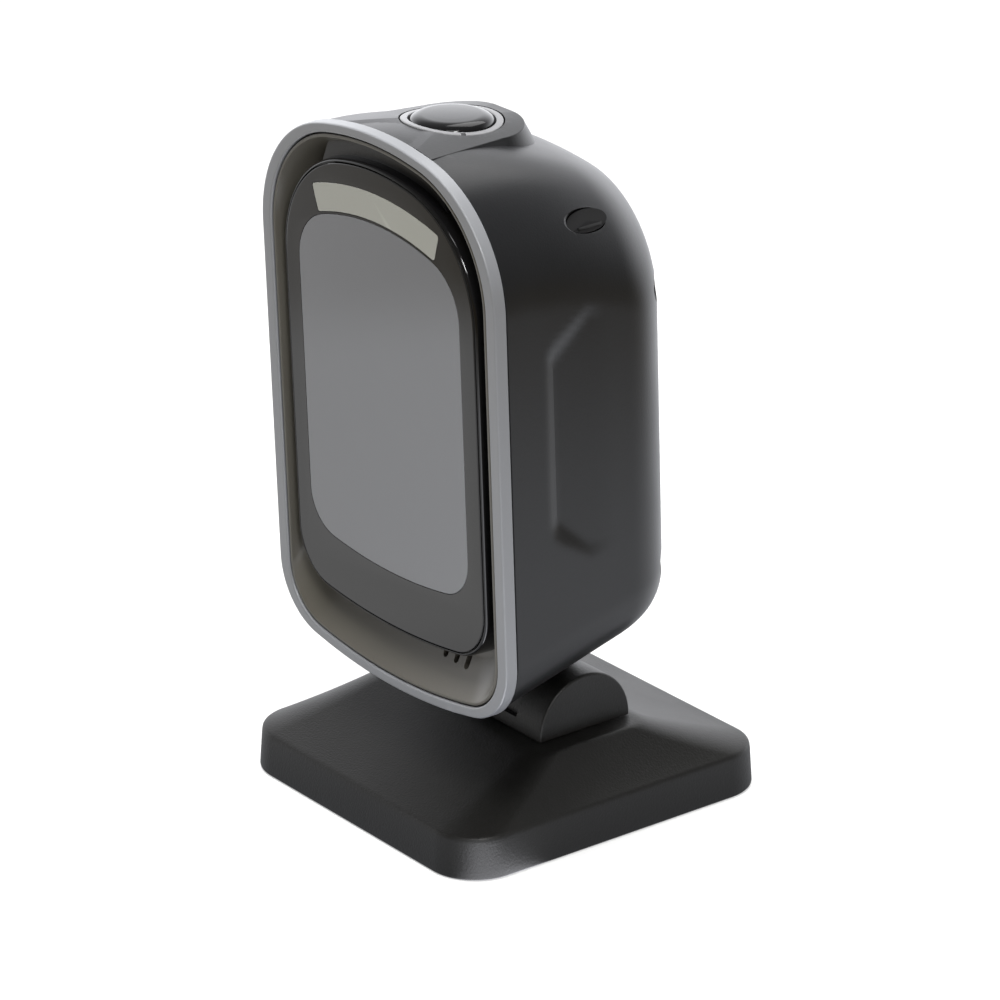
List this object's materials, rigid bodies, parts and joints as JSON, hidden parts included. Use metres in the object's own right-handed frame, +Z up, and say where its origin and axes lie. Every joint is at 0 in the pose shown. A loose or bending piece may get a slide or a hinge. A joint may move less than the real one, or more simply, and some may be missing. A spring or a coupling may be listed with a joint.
{
  "type": "presentation barcode scanner",
  "caption": "Upright hands-free barcode scanner: a tall framed window head with a top button, tilting on a square weighted stand.",
  "frame": {"origin": "centre of the stand's footprint, on the table", "axes": "+Z up; the window faces -Y; +X is on the right when seen from the front"},
  "size_m": [0.082, 0.0848, 0.1543],
  "materials": {
    "housing_plastic": "satin dark grey moulding",
    "stand_plastic": "fine-grained near-black moulding",
    "ring_plastic": "satin grey moulding",
    "gloss_black": "polished black",
    "window_tint": "polished grey tint",
    "diffuser": "frosted translucent",
    "black_plastic": "matt black moulding",
    "rubber": "matt",
    "steel": "zinc plated",
    "circuit_board": "green solder mask",
    "brass": "plated contacts",
    "clear_optic": "polished clear",
    "nylon": "natural nylon"
  },
  "bodies": {
    "base": {"base_cover": "stand_plastic", "base_bottom_plate": "black_plastic", "ballast_plate": "steel", "base_screw_front_left": "steel", "base_screw_front_right": "steel", "base_screw_rear_left": "steel", "base_screw_rear_right": "steel", "rubber_foot_front_left": "rubber", "rubber_foot_front_right": "rubber", "rubber_foot_rear_left": "rubber", "rubber_foot_rear_right": "rubber", "hinge_drum": "stand_plastic", "hinge_shaft": "steel", "shaft_retainer_left": "steel", "shaft_retainer_right": "steel", "friction_washer_left": "nylon", "friction_washer_right": "nylon", "spring_washer_left": "steel", "spring_washer_right": "steel", "hinge_screw_1": "steel", "hinge_screw_2": "steel"},
    "head": {"neck": "stand_plastic", "neck_bush_left": "nylon", "neck_bush_right": "nylon", "neck_screw_1": "steel", "neck_screw_2": "steel", "housing_shell": "housing_plastic", "front_ring": "ring_plastic", "recess_bezel": "housing_plastic", "window_plinth": "gloss_black", "window_gasket": "rubber", "window_mask": "gloss_black", "clear_window": "window_tint", "light_strip": "diffuser", "light_pipe": "clear_optic", "housing_screw_1": "steel", "housing_screw_2": "steel", "housing_screw_3": "steel", "housing_screw_4": "steel", "shoulder_plug_left": "black_plastic", "shoulder_plug_right": "black_plastic", "illumination_board": "circuit_board", "imager_block": "black_plastic", "lens_barrel": "black_plastic", "camera_lens": "clear_optic", "sensor_board": "circuit_board", "led_reflector_left": "steel", "led_reflector_right": "steel", "led_left": "clear_optic", "led_right": "clear_optic", "main_board": "circuit_board", "speaker": "black_plastic", "cable_socket": "black_plastic", "socket_contacts": "brass", "button_bezel": "housing_plastic", "button_spring": "steel", "button_carrier": "circuit_board", "tact_switch": "black_plastic"},
    "button": {"button_cap": "gloss_black"}
  },
  "joints": [
    {"name": "head_tilt", "type": "hinge", "parent": "base", "child": "head", "pos_m": [0, 0.0027, 0.0191], "axis": [1, 0, 0], "range_deg": [-20, 10]},
    {"name": "button_press", "type": "slide", "parent": "head", "child": "button", "axis": [0, 0, -1], "range_m": [0, 0.001], "stiffness_N_per_m": 1200, "deforming": ["button_spring"]}
  ]
}
